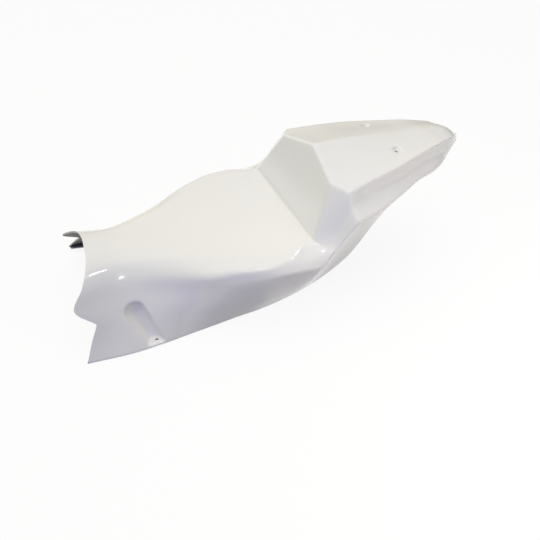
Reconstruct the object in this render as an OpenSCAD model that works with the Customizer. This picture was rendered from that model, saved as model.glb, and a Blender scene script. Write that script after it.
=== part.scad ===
// Racing seat unit: a one-piece glass-fibre seat and tail moulding for a track motorcycle.
// It is a thin shell, open underneath and at the front. A narrow arch at the front widens
// into the seat pan, and a bump stop rises at its back into a gabled roof and a pointed tail.
// X runs from the front to the tail point, Y across and Z up. The skirts' lower edge is at Z = 0,
// and the origin is under the middle of the length. Lengths below count from the front tips.

/* [Overall] */
// Length from the lower front tips to the tail point
overall_l = 850; // [740:5:1100]
// Width across the hips, the widest place
hip_w = 378; // [330:2:460]
// Width across the lower front tips
front_w = 342; // [300:2:420]
// Thickness of the laminate
laminate = 3; // [2:0.5:4]

/* [Seat pan] */
// Length from the front tips to the pan's rear corners
pan_l = 430; // [360:5:520]
// Height of the front arch on the centre line
arch_h = 117; // [95:1:145]
// Height of the pan where it meets the bump stop
pan_h = 140; // [120:1:170]
// Width of the pan at its rear corners
corner_w = 286; // [240:2:320]
// Height of the hips' crease
hip_h = 114; // [95:1:135]

/* [Bump stop] */
// Horizontal run of the front face on the centre line
bump_run = 55; // [30:1:80]
// Height of the roof's apex above the skirts' lower edge
bump_h = 261; // [220:1:310]
// Width of the front face at its top corners
face_w = 206; // [170:2:240]
// Width of the roof at its front corners
roof_w = 272; // [244:2:300]
// Height of the roof's front corners
roof_edge_h = 232; // [205:1:250]
// Width across the shoulders beside the roof
shoulder_w = 354; // [320:2:380]
// Height of the shoulders beside the roof
shoulder_h = 192; // [170:1:205]

/* [Tail] */
// Height of the tail point
tail_h = 230; // [210:1:260]
// Height that the ridge gains behind the apex
ridge_rise = 4; // [0:1:12]
// Depth of the return edge under the tail
return_h = 13; // [8:1:20]

/* [Lower edge] */
// Width of the flange that is turned in under each skirt
flange_w = 25; // [18:1:34]
// Width of the narrow return along the side panels and the tail
return_w = 8; // [6:0.5:12]

/* [Creases] */
// Distance over which a crease is rounded, on each side of it
crease_r = 5; // [3:0.5:8]

/* [Tail bolts] */
// Radius of the recess round each tail bolt
cup_r = 10; // [8:0.5:14]
// Depth of that recess
cup_depth = 4; // [2:0.5:6]
// Distance of the tail bolts behind the roof's apex
cup_back = 157; // [120:1:200]
// Distance between the two tail bolts
cup_spacing = 117; // [90:1:140]

/* [Side pockets] */
// Radius of the half-round pocket in each skirt, at its ledge
pocket_r = 14.5; // [12:0.5:18]
// Radius of the pocket's round top end
pocket_top_r = 18.5; // [14:0.5:22]
// How far the pocket's axis stands proud of the skirt
pocket_proud = 3; // [0:0.5:6]
// Distance of the pocket's ledge behind the front tips
pocket_x = 122; // [105:1:140]
// Distance that the pocket's top end leans forward of its ledge
pocket_lean = 25; // [0:1:30]
// Height of the pocket's flat ledge
ledge_h = 5; // [4:0.5:8]
// Height that the pocket's axis climbs from the ledge to the round end
pocket_rise = 47; // [35:1:55]
// Distance of the side bolt inboard of the skirt's face at the ledge
bolt_inset = 9; // [7:0.5:14]

/* [Bolts] */
// Radius of the bolt holes
bolt_r = 3.25; // [2.5:0.25:5]

/* [Hidden] */
hip = hip_w / 2;
corner = corner_w / 2;
shoulder = shoulder_w / 2;
apex_x = pan_l + bump_run;
tail_l = overall_l - apex_x;
gelcoat_white = [0.93, 0.92, 0.9];

// Table of offsets. Each row is one station from the front to the tail, and its nine
// points lie on nine guide lines from the centre line outward: centre, inner pan, outer pan,
// roll, shoulder, upper skirt, middle skirt, lower edge, and the rim of the turned-in flange.

// Half breadths and heights of the front stations, as shares of their own half width and
// height. The centre point is left out, as it is always [0, 1].
front_shape = [
    [[0.205, 0.987], [0.363, 0.936], [0.503, 0.829], [0.661, 0.632], [0.766, 0.419], [0.883, 0.205], [1, 0]],
    [[0.183, 0.987], [0.32, 0.942], [0.44, 0.835], [0.594, 0.619], [0.726, 0.42], [0.863, 0.208], [1, 0]],
    [[0.242, 0.999], [0.422, 0.974], [0.567, 0.864], [0.688, 0.65], [0.806, 0.444], [0.906, 0.222], [1, 0]],
    [[0.311, 1.005], [0.547, 0.978], [0.712, 0.867], [0.806, 0.664], [0.891, 0.454], [0.952, 0.227], [1, 0]],
    [[0.398, 1.01], [0.706, 0.99], [0.905, 0.891], [0.95, 0.724], [1, 0.469], [1.006, 0.23], [1, 0]],
    [[0.474, 1.01], [0.805, 1], [0.944, 0.973], [1, 0.844], [1, 0.544], [0.964, 0.264], [0.917, 0]],
    [[0.532, 1.01], [0.841, 1], [0.952, 0.973], [1, 0.876], [0.97, 0.558], [0.909, 0.271], [0.826, 0]]
];
// Place along the pan, half width against the hips', and height gained from the arch to the pan
front_place = [
    [0, front_w / 2, 0],
    [0.186, hip * 0.926, -0.065],
    [0.342, hip * 0.9, 0],
    [0.437, hip * 0.873, 0.087],
    [0.54, hip * 0.847, 0.196],
    [0.651, hip * 0.889, 0.348],
    [0.753, hip * 0.96, 0.522]
];
// Set-back of the front edge on each guide line, which draws the arch, the lug and the notch
front_set = [36.5, 35.5, 30, 20, 0.5, 30, 14, 1, 6];
// Width of the flange at the front stations, as a share of its full width
flange_share = [0.5, 1, 1, 1, 1, 1, 0.8];

function front_station(k) = [
    for (j = [0 : 8])
        let (
            shape = j == 0 ? [0, 1] : front_shape[k][min(j, 7) - 1],
            turned_in = j == 8 ? flange_share[k] * flange_w : 0
        )
            [
                front_place[k][0] * pan_l + (k == 0 ? front_set[j] : 0),
                shape[0] * front_place[k][1] - turned_in,
                shape[1] * (arch_h + front_place[k][2] * (pan_h - arch_h))
            ]
];

// Points on the side panel between the shoulder crease and the lower edge
function side(top, low, bulge) = [
    for (t = [1 / 3, 2 / 3]) top + (low - top) * t + [0, bulge * 4 * t * (1 - t), 0]
];

function with_side(upper, low, bulge, rim) =
    let (mid = side(upper[4], low, bulge)) [for (p = upper) p, mid[0], mid[1], low, low + rim];

// The fold at the pan's rear corner, the hip corner, and the foot of the bump stop
fold_station = with_side([
    [pan_l - 35, 0, pan_h - 4],
    [pan_l - 24, corner, pan_h],
    [pan_l - 43, corner + 15.5, pan_h - 4.5],
    [pan_l - 62, corner + 29.5, pan_h - 9.5],
    [pan_l - 68, hip - 1.5, hip_h + 3]
], [pan_l - 56, hip - 48, 0], 4, [0, -14, 0]);

hip_station = with_side([
    [pan_l - 12, 0, pan_h - 1.5],
    [pan_l - 12, corner, pan_h],
    [pan_l - 15, corner + 16.5, pan_h - 6.5],
    [pan_l - 10, corner + 33.5, pan_h - 13.5],
    [pan_l - 1, hip, hip_h]
], [pan_l - 6, hip - 60, 0], 3, [0, -return_w, 0]);

foot_station = with_side([
    [pan_l, 0, pan_h],
    [pan_l, corner, pan_h],
    [pan_l + 10, corner + 12, pan_h - 1],
    [pan_l + 20, corner + 23, pan_h - 0.5],
    [pan_l + 31, corner + 34.5, pan_h + 1]
], [pan_l + 35, hip - 70, 5], 0, [0, -return_w, 1]);

// The top of the bump stop's faces
top_station = with_side([
    [apex_x, 0, bump_h],
    [apex_x - 13, face_w / 2, roof_edge_h + 3],
    [apex_x + 8, roof_w / 2, roof_edge_h],
    [apex_x + 8, (roof_w + shoulder_w) / 4 - 5, (roof_edge_h + shoulder_h) / 2 - 2],
    [apex_x + 13, shoulder, shoulder_h]
], [apex_x + 50, hip - 76, 46], -2, [0, -return_w, 2]);

// Tail stations: place along the tail, ridge height, roof edge height and shoulder height as
// shares of the rise to the tail, half widths of roof edge and shoulder, and the lower edge
tail_place = [0.21, 0.37, 0.56, 0.75, 0.9, 1];
ridge_fall = [0, 0, 0.02, 0.02, 0.16, 0.7];
roof_gain = [9.5, 16, 22.5, 26.5, 22.5, 4.5];
roof_half = [0.89, 0.786, 0.603, 0.43, 0.262, 0.06];
edge_half = [0.876, 0.738, 0.566, 0.416, 0.203, 0.06];
edge_gain = [-0.02, 0.113, 0.418, 0.572, 0.86, 0.97];

function tail_station(k) =
    let (
        x = apex_x + tail_place[k] * tail_l,
        ridge = bump_h + ridge_rise - ridge_fall[k] * (bump_h + ridge_rise - tail_h),
        roof = [x - 3, roof_half[k] * roof_w / 2, roof_edge_h + roof_gain[k]],
        edge = [x - 2, edge_half[k] * shoulder, shoulder_h + edge_gain[k] * (tail_h - shoulder_h)],
        flute = mix(roof, edge, 0.12) - [0.5, 0, (roof[2] - edge[2]) * 0.36],
        low = k == 0 ? [x + 22, hip - 63, 150] : edge + [-2, -10 * (1.1 - tail_place[k]) - 2, -return_h],
        inner_roof = [x - 1, roof[1] * 0.72, ridge + (roof[2] - ridge) * 0.72],
        rim = [0, -min(return_w, low[1] * 0.5), 1]
    )
    with_side([[x, 0, ridge], inner_roof, roof, flute, edge], low, 0, rim);

stations = [
    for (k = [0 : 6]) front_station(k),
    fold_station, hip_station, foot_station, top_station,
    for (k = [0 : 5]) tail_station(k)
];

// How hard each guide line is bent at each station: 0 is a smooth curve and 1 a crease.
// The first table is for bends along the shell, the second for bends across it.
along_front = [for (k = [0 : 6]) [0, 0, 0, 0, 0, 0, 0, 0, 0]];
along = concat(along_front, [
    [0, 0.8, 0.8, 0.8, 0, 0, 0, 0, 0],
    [0, 1, 0, 0, 1, 0, 0, 0, 0],
    [1, 1, 0.6, 0.4, 0.3, 0, 0, 0, 0],
    [1, 1, 1, 1, 0.9, 0, 0, 0, 0]
], [for (k = [0 : 5]) [0, 0, 0, 0, 0, 0, 0, 0, 0]]);

across = [
    [0, 0, 0, 0, 0, 0.9, 0, 1, 0],
    [0, 0, 0, 0, 0, 0, 0, 1, 0],
    [0, 0, 0, 0, 0, 0, 0, 1, 0],
    [0, 0, 0, 0, 0, 0, 0, 1, 0],
    [0, 0, 0, 0, 0.1, 0, 0, 1, 0],
    [0, 0, 0, 0, 0.3, 0, 0, 1, 0],
    [0, 0, 0, 0, 0.6, 0, 0, 1, 0],
    [0, 1, 0, 0, 0.9, 0, 0, 1, 0],
    [0, 1, 0, 0, 1, 0, 0, 1, 0],
    [0, 1, 0, 0, 1, 0, 0, 1, 0],
    [1, 1, 1, 0.3, 1, 0, 0, 1, 0],
    [0.8, 0, 1, 0.25, 1, 0, 0, 1, 0],
    [0.5, 0, 1, 0.25, 1, 0, 0, 1, 0],
    [0.2, 0, 1, 0.25, 1, 0, 0, 1, 0],
    [0, 0, 1, 0.25, 1, 0, 0, 1, 0],
    [0, 0, 1, 0.25, 1, 0, 0, 1, 0],
    [0, 0, 1, 0.25, 1, 0, 0, 1, 0]
];

// Curve through the points p, where hard says how sharply it bends at each of them
function mix(a, b, t) = a + (b - a) * t;
function unit(v) = v / norm(v);
function span(p, i) = norm(p[i + 1] - p[i]);
function smooth_dir(p, i) =
    i == 0 ? (p[1] - p[0]) / span(p, 0) :
    i == len(p) - 1 ? (p[i] - p[i - 1]) / span(p, i - 1) :
    let (before = span(p, i - 1), after = span(p, i))
        ((p[i] - p[i - 1]) * after / before + (p[i + 1] - p[i]) * before / after) / (before + after);
function hermite(a, b, ta, tb, t) =
    a * (2 * t * t * t - 3 * t * t + 1) + ta * (t * t * t - 2 * t * t + t)
    + b * (3 * t * t - 2 * t * t * t) + tb * (t * t * t - t * t);
function curve(p, hard, s) =
    let (
        i = max(0, min(floor(s), len(p) - 2)),
        run = p[i + 1] - p[i],
        ta = mix(smooth_dir(p, i) * norm(run), run, hard[i]),
        tb = mix(smooth_dir(p, i + 1) * norm(run), run, hard[i + 1])
    )
    hermite(p[i], p[i + 1], ta, tb, s - i);

// One place on a curve: k is the point that it counts from, part the share of the next
// span, and away a distance in millimetres. Where both are 0, the crease is rounded.
function near(p, k, away) =
    k + sign(away) * min(0.4, abs(away) / span(p, away > 0 ? k : k - 1));
function place(p, hard, at) =
    let (k = at[0], part = at[1], away = at[2])
    part > 0 ? curve(p, hard, k + part) :
    away != 0 ? curve(p, hard, near(p, k, away)) :
    k == 0 || k == len(p) - 1 ? p[k] :
    let (a = curve(p, hard, near(p, k, -crease_r)), b = curve(p, hard, near(p, k, crease_r)))
        mix(p[k], (a + 2 * p[k] + b) / 4, hard[k]);

// Places of the rows along the shell, and of the columns from the centre line outward.
// A key is a station or guide line, and steps divide the span that follows it.
function steps(k, n) = [for (i = [1 : n - 1]) [k, i / n, 0]];
function crease(k) = [[k, 0, -crease_r], [k, 0, 0], [k, 0, crease_r]];
function key(k) = [[k, 0, 0]];
rows = concat(
    key(0), steps(0, 5), key(1), steps(1, 7), key(2), steps(2, 2), key(3), steps(3, 2), key(4),
    steps(4, 2), key(5), steps(5, 2), key(6), steps(6, 2), crease(7), crease(8), crease(9),
    steps(9, 3), crease(10), steps(10, 3), key(11), steps(11, 2), key(12), steps(12, 2), key(13),
    steps(13, 2), key(14), steps(14, 2), key(15), steps(15, 2), key(16)
);
half_columns = concat(
    [[0, 0, crease_r]], steps(0, 3), crease(1), steps(1, 2), crease(2), steps(2, 2), key(3),
    steps(3, 2), crease(4), steps(4, 3), key(5), steps(5, 2), key(6), steps(6, 2), crease(7), key(8)
);
middle = len(half_columns);
lines_n = len(stations[0]);

// The guide lines' points at one row, mirrored so that they run from rim to rim,
// with how hard the section bends at each of them
function mirrored(p) = [p[0], -p[1], p[2]];
function lifted(p) = [p[0], p[1], max(p[2], 0)];
function both_sides(half) = [for (j = [len(half) - 1 : -1 : 1]) mirrored(half[j]), for (p = half) p];
function section_points(at) =
    both_sides([
        for (j = [0 : lines_n - 1]) lifted(place([for (s = stations) s[j]], [for (h = along) h[j]], at))
    ]);
function section_hard(at) =
    let (half = at[1] > 0 ? mix(across[at[0]], across[at[0] + 1], at[1]) : across[at[0]])
        [for (j = [lines_n - 1 : -1 : 1]) half[j], for (h = half) h];

function right_half(p, hard) = [
    for (c = half_columns) lifted(place(p, hard, [c[0] + lines_n - 1, c[1], c[2]]))
];
function section(at) =
    let (p = section_points(at), hard = section_hard(at), right = right_half(p, hard))
        both_sides(concat([place(p, hard, [lines_n - 1, 0, 0])], right));

keys = [for (at = rows) section_points(at)];
outer = [for (at = rows) section(at)];
row_n = len(rows);
column_n = 2 * middle + 1;

// Outward direction of the skin at row r and column c
function outward(r, c) =
    unit(cross(
        outer[min(r + 1, row_n - 1)][c] - outer[max(r - 1, 0)][c],
        outer[r][min(c + 1, column_n - 1)] - outer[r][max(c - 1, 0)]
    ));

// The inner skin lies one laminate inside the outer one. At the bend between the skirt and
// its flange it follows the sharp inner corner: leg is -1 on the skirt, 1 on the flange.
function bend_point(p, k, leg) =
    let (
        up = unit(p[k - 1] - p[k]),
        turned = unit(p[k + 1] - p[k]),
        half = acos(up * turned) / 2,
        reach = laminate / tan(half) + 1.2,
        rail = leg < 0 ? up : turned,
        side_dir = leg < 0 ? turned : up,
        inward = unit(side_dir - rail * (side_dir * rail))
    )
    leg == 0 ? p[k] + unit(up + turned) * laminate / sin(half) : p[k] + rail * reach + inward * laminate;
bend_key = 2 * lines_n - 3;
function inner_point(r, c) =
    let (right_c = max(c, column_n - 1 - c), leg = right_c - (column_n - 3))
    abs(leg) <= 1
        ? let (q = bend_point(keys[r], bend_key, leg)) c == right_c ? q : mirrored(q)
        : outer[r][c] - outward(r, c) * laminate - (r == row_n - 1 ? [laminate, 0, 0] : [0, 0, 0]);
inner = [for (r = [0 : row_n - 1]) [for (c = [0 : column_n - 1]) inner_point(r, c)]];

// A closed skin between two nets of points with the same rows and columns. Where it is
// capped, a wall between its two sides closes its last row.
function quad(a, b, c, d) = [[a, b, c], [a, c, d]];
module between(top, under, capped = false) {
    rn = len(top);
    cn = len(top[0]);
    end = rn - 1;
    function t(r, c) = r * cn + c;
    function u(r, c) = (rn + r) * cn + c;
    function far(c) = cn - 1 - c;
    rung = (cn - 1) / 2 - 1;
    cap = concat(
        [for (c = [0 : rung - 1]) each concat(
            quad(t(end, c), t(end, c + 1), t(end, far(c + 1)), t(end, far(c))),
            quad(u(end, c), u(end, far(c)), u(end, far(c + 1)), u(end, c + 1))
        )],
        [[t(end, rung), t(end, rung + 1), t(end, rung + 2)], [u(end, rung), u(end, rung + 2), u(end, rung + 1)]],
        quad(t(end, 0), t(end, cn - 1), u(end, cn - 1), u(end, 0))
    );
    open_end = [for (c = [0 : cn - 2]) each quad(t(end, c), t(end, c + 1), u(end, c + 1), u(end, c))];
    faces = [
        for (r = [0 : rn - 2], c = [0 : cn - 2]) each concat(
            quad(t(r, c), t(r, c + 1), t(r + 1, c + 1), t(r + 1, c)),
            quad(u(r, c), u(r + 1, c), u(r + 1, c + 1), u(r, c + 1))
        ),
        for (c = [0 : cn - 2]) each quad(t(0, c), u(0, c), u(0, c + 1), t(0, c + 1)),
        for (f = capped ? cap : open_end) f,
        for (r = [0 : rn - 2]) each concat(
            quad(t(r, 0), t(r + 1, 0), u(r + 1, 0), u(r, 0)),
            quad(t(r, cn - 1), u(r, cn - 1), u(r + 1, cn - 1), t(r + 1, cn - 1))
        )
    ];
    polyhedron(points = concat([for (row = top) each row], [for (row = under) each row]), faces = faces);
}

// A place on the right skirt at a distance behind the front tips and a height
function skirt_point(x, z) =
    let (
        u = lookup(x, [for (k = [0 : 6]) [stations[k][6][0], k]]),
        at = [floor(u), u - floor(u), 0],
        p = section_points(at),
        first = lines_n + 3,
        v = lookup(z, [for (j = [first : bend_key]) [p[j][2], j]])
    )
    curve(p, section_hard(at), v);

// Frame of the right pocket: w climbs the skirt along its axis, n points outward, t lies across
pocket_low = skirt_point(pocket_x, ledge_h);
pocket_high = skirt_point(pocket_x - pocket_lean, ledge_h + pocket_rise);
pocket_w = unit(pocket_high - pocket_low);
pocket_n = unit(cross(pocket_w, cross([0, 1, 0], pocket_w)));
pocket_t = cross(pocket_w, pocket_n);
pocket_l = norm(pocket_high - pocket_low);
above = 2 * overall_l;

// The half-round pocket: a taper with a round top end, cut off level at its ledge
module pocket_form(wall) {
    r_low = pocket_r + wall;
    r_top = pocket_top_r + wall;
    below = pocket_r;
    slope = (r_top - r_low) / pocket_l;
    difference() {
        multmatrix([
            [pocket_n[0], pocket_t[0], pocket_w[0], pocket_low[0]],
            [pocket_n[1], pocket_t[1], pocket_w[1], pocket_low[1]],
            [pocket_n[2], pocket_t[2], pocket_w[2], pocket_low[2]]
        ]) translate([pocket_proud, 0, 0]) {
            translate([0, 0, -below])
                cylinder(h = pocket_l + below, r1 = r_low - slope * below, r2 = r_top, $fn = 64);
            translate([0, 0, pocket_l]) sphere(r = r_top, $fn = 64);
        }
        translate([0, 0, ledge_h - wall - above / 2]) cube(above, center = true);
    }
}

// What lies under the middle of the skin near the pocket, so that the pocket's wall ends in it
pocket_rows = [for (r = [0 : row_n - 1]) if (rows[r][0] < 3 && (rows[r][0] > 0 || rows[r][1] > 0.5)) r];
pocket_columns = [for (c = [column_n - 15 : column_n - 3]) c];
module under_skin() {
    middle_net = [
        for (r = pocket_rows) [for (c = pocket_columns) outer[r][c] - outward(r, c) * laminate / 2]
    ];
    between(middle_net, [for (row = middle_net) [for (p = row) p - [0, 2.2 * pocket_top_r, 0]]]);
}

module pocket_wall() {
    intersection() {
        pocket_form(laminate);
        under_skin();
    }
}

// A place on the roof beside the ridge, at a distance behind the front tips and from the centre
function roof_point(x, y) =
    let (
        u = lookup(x, [for (k = [10 : 16]) [stations[k][1][0], k]]),
        at = [floor(u), u - floor(u), 0],
        p = section_points(at),
        v = lookup(y, [for (j = [lines_n - 1 : lines_n + 1]) [p[j][1], j]])
    )
    curve(p, section_hard(at), v);
cup_at = roof_point(apex_x + cup_back, cup_spacing / 2);
cup_side = roof_point(apex_x + cup_back, cup_spacing / 2 + cup_r) - cup_at;
cup_rear = roof_point(apex_x + cup_back + cup_r, cup_spacing / 2) - cup_at;
cup_n = unit(cross(cup_rear, cup_side));
cup_u = unit(cross([0, 1, 0], cup_n));
cup_v = cross(cup_n, cup_u);

module on_roof() {
    multmatrix([
        [cup_u[0], cup_v[0], cup_n[0], cup_at[0]],
        [cup_u[1], cup_v[1], cup_n[1], cup_at[1]],
        [cup_u[2], cup_v[2], cup_n[2], cup_at[2]]
    ]) children();
}

// Disc under the roof that carries the recess of one tail bolt
module cup_wall() {
    on_roof() translate([0, 0, -cup_depth - laminate])
        cylinder(h = cup_depth + laminate / 2, r = cup_r + laminate, $fn = 48);
}

module cup_hollow() {
    on_roof() translate([0, 0, -cup_depth]) cylinder(h = cup_depth + cup_r, r = cup_r, $fn = 48);
}

module tail_bolt_hole() {
    on_roof() translate([0, 0, -cup_depth - 2 * laminate])
        cylinder(h = cup_depth + 4 * laminate, r = bolt_r, $fn = 48);
}

// The side bolt goes down through the pocket's ledge and the flange under it
side_bolt = pocket_low - [0, bolt_inset, 0];
module side_bolt_hole() {
    translate([side_bolt[0], side_bolt[1], -laminate])
        cylinder(h = ledge_h + 2 * laminate, r = bolt_r, $fn = 48);
}

// The same on the right side and on the left one
module both() {
    children();
    mirror([0, 1, 0]) children();
}

module seat_shell() {
    color(gelcoat_white) translate([-overall_l / 2, 0, 0]) difference() {
        union() {
            between(outer, inner, capped = true);
            both() pocket_wall();
            both() cup_wall();
        }
        both() pocket_form(0);
        both() side_bolt_hole();
        both() cup_hollow();
        both() tail_bolt_hole();
    }
}

seat_shell();
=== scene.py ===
"""Racing seat unit: a one-piece glass-fibre seat and tail moulding for a track motorcycle.

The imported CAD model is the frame. One finely lofted skin stands for its node: glossy white
gelcoat outside, raw glass-fibre laminate inside and a trimmed edge all round, with a
half-round bolt pocket in each skirt and two bolt recesses on the tail. Loose glass strands
lie over the inner face.
"""
import logging
import math
from collections.abc import Callable
from dataclasses import dataclass, field
from enum import Enum

import bpy
import numpy as np
from mathutils import Matrix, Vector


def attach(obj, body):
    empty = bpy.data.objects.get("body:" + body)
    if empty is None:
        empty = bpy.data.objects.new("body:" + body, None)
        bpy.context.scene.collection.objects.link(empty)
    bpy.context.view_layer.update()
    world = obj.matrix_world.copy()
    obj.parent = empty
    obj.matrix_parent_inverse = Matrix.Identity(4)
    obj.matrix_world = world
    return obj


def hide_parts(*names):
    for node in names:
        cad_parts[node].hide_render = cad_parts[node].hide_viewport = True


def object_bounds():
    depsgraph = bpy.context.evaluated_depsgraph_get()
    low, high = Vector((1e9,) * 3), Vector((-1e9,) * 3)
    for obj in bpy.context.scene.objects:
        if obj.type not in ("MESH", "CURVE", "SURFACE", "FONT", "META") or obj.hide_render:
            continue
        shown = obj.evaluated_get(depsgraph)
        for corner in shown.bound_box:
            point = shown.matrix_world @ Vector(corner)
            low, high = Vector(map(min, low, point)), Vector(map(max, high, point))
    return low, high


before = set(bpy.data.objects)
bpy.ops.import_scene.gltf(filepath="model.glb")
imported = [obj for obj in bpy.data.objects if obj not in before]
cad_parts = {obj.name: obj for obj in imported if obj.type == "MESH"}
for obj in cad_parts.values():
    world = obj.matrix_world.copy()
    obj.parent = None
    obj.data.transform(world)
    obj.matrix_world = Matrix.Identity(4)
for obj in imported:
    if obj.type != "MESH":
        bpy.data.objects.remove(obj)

MM = 0.001
MIRROR = np.array([1, -1, 1])
Points = np.ndarray
Colour = tuple[float, float, float]
Place = tuple[float, float, float]
Socket = bpy.types.NodeSocket

logging.basicConfig(level=logging.INFO, format="%(name)s: %(message)s")
log = logging.getLogger("seat_unit")

CAD_LOW, CAD_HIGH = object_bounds()


class Surface(Enum):
    """The faces of the moulding, by the finish each of them has."""

    OUTSIDE = 0
    INSIDE = 1
    TRIMMED = 2


# Finishes


@dataclass(frozen=True)
class Gelcoat:
    """Glossy white gelcoat, as it comes out of a polished mould."""

    warm: Colour = (0.86, 0.85, 0.825)
    cool: Colour = (0.835, 0.83, 0.815)
    roughness: float = 0.13
    cloud_scale: float = 5.0
    ripple_scale: float = 42.0
    ripple_depth: float = 0.00012
    pinhole_scale: float = 900.0

    def build(self) -> bpy.types.Material:
        """Returns the material, with slow shifts of tone and the faint ripple of the mould."""
        tree = Finish("gelcoat_white")
        place = tree.place()
        cloud = tree.noise(place, self.cloud_scale, 2.0)
        ripple = tree.noise(place, self.ripple_scale, 1.0)
        fine = tree.noise(place, self.pinhole_scale, 2.0)
        tree.feed(tree.shader, {
            "Base Color": tree.ramp(cloud, (0.35, self.warm), (0.7, self.cool)),
            "Roughness": tree.scaled(fine, 0.4, 0.65, self.roughness * 0.8, self.roughness * 1.25),
            "Normal": tree.bump(ripple, 0.25, self.ripple_depth),
            "Specular IOR Level": 0.5, "IOR": 1.5, "Coat Weight": 0.25, "Coat Roughness": 0.06})
        return tree.material


@dataclass(frozen=True)
class RawLaminate:
    """The inner face of the moulding: resin over chopped strands, unpainted."""

    resin: Colour = (0.20, 0.175, 0.15)
    strand: Colour = (0.36, 0.33, 0.30)
    roughness: float = 0.45
    lay_scale: float = 60.0
    strand_scale: float = 420.0
    strand_depth: float = 0.0006

    def build(self) -> bpy.types.Material:
        """Returns the material, with strands lying every way under the resin."""
        tree = Finish("raw_laminate")
        place = tree.place()
        lay = tree.noise(place, self.lay_scale, 3.0, 1.6)
        strands = tree.noise(place, self.strand_scale, 3.0, 2.5)
        both = tree.maths("MULTIPLY", lay, strands)
        tree.feed(tree.shader, {
            "Base Color": tree.ramp(both, (0.15, self.resin), (0.42, self.strand)),
            "Roughness": tree.scaled(strands, 0.3, 0.7, self.roughness * 0.7, self.roughness * 1.3),
            "Normal": tree.bump(strands, 0.8, self.strand_depth),
            "Specular IOR Level": 0.5, "IOR": 1.53})
        return tree.material


@dataclass(frozen=True)
class TrimmedEdge:
    """The edge where the moulding was cut from its mould and sanded."""

    pale: Colour = (0.74, 0.73, 0.68)
    dark: Colour = (0.42, 0.38, 0.32)
    roughness: float = 0.6
    speck_scale: float = 1400.0
    speck_depth: float = 0.0002

    def build(self) -> bpy.types.Material:
        """Returns the material, speckled with the ends of the strands."""
        tree = Finish("trimmed_edge")
        speck = tree.noise(tree.place(), self.speck_scale, 2.0)
        tree.feed(tree.shader, {
            "Base Color": tree.ramp(speck, (0.4, self.pale), (0.72, self.dark)),
            "Roughness": tree.scaled(speck, 0.3, 0.7, self.roughness * 0.85, self.roughness * 1.1),
            "Normal": tree.bump(speck, 0.5, self.speck_depth),
            "Specular IOR Level": 0.4})
        return tree.material


@dataclass(frozen=True)
class GlassStrand:
    """Loose ends of glass strand, wetted with resin, that stand on the inner face."""

    pale: Colour = (0.46, 0.43, 0.38)
    dark: Colour = (0.27, 0.24, 0.21)
    patch_scale: float = 90.0

    def build(self) -> bpy.types.Material:
        """Returns the material, uneven along the strands."""
        tree = Finish("glass_strand")
        patch = tree.noise(tree.place(), self.patch_scale, 2.0)
        tree.feed(tree.shader, {
            "Base Color": tree.ramp(patch, (0.35, self.dark), (0.65, self.pale)),
            "Roughness": tree.scaled(patch, 0.3, 0.7, 0.3, 0.5),
            "Specular IOR Level": 0.5})
        return tree.material


class Wiring:
    """A node tree, whose nodes are added and fed in one step."""

    def __init__(self, group: bpy.types.NodeTree) -> None:
        """Args:
            group: the tree that the nodes go into.
        """
        self.group = group

    def feed(self, node: bpy.types.Node, feeds: dict) -> None:
        """Args:
            node: the node to feed.
            feeds: what goes into its inputs, each a node's output or a plain value.
        """
        for name, given in feeds.items():
            if isinstance(given, Socket):
                self.group.links.new(given, node.inputs[name])
            else:
                node.inputs[name].default_value = given

    def add(self, kind: str, feeds: dict | None = None, **settings: str) -> bpy.types.Node:
        """Args:
            kind: the kind of node.
            feeds: what goes into its inputs.
            settings: the node's own settings.

        Returns:
            The new node.
        """
        node = self.group.nodes.new(kind)
        for name, value in settings.items():
            setattr(node, name, value)
        self.feed(node, feeds or {})
        return node

    def maths(self, operation: str, first: Socket, second: Socket | float) -> Socket:
        """Args:
            operation: the sum to do, by its name in the node.
            first: the first number.
            second: the second number, from a socket or as it stands.

        Returns:
            The result.
        """
        return self.add("ShaderNodeMath", {0: first, 1: second}, operation=operation).outputs["Value"]

    def mixed(self, share: Socket, first: Socket, second: Socket) -> Socket:
        """Args:
            share: how much of the second shader shows, from 0 to 1.
            first: the first shader.
            second: the second shader.

        Returns:
            The two shaders as one.
        """
        return self.add("ShaderNodeMixShader", {"Fac": share, 1: first, 2: second}).outputs["Shader"]


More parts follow.
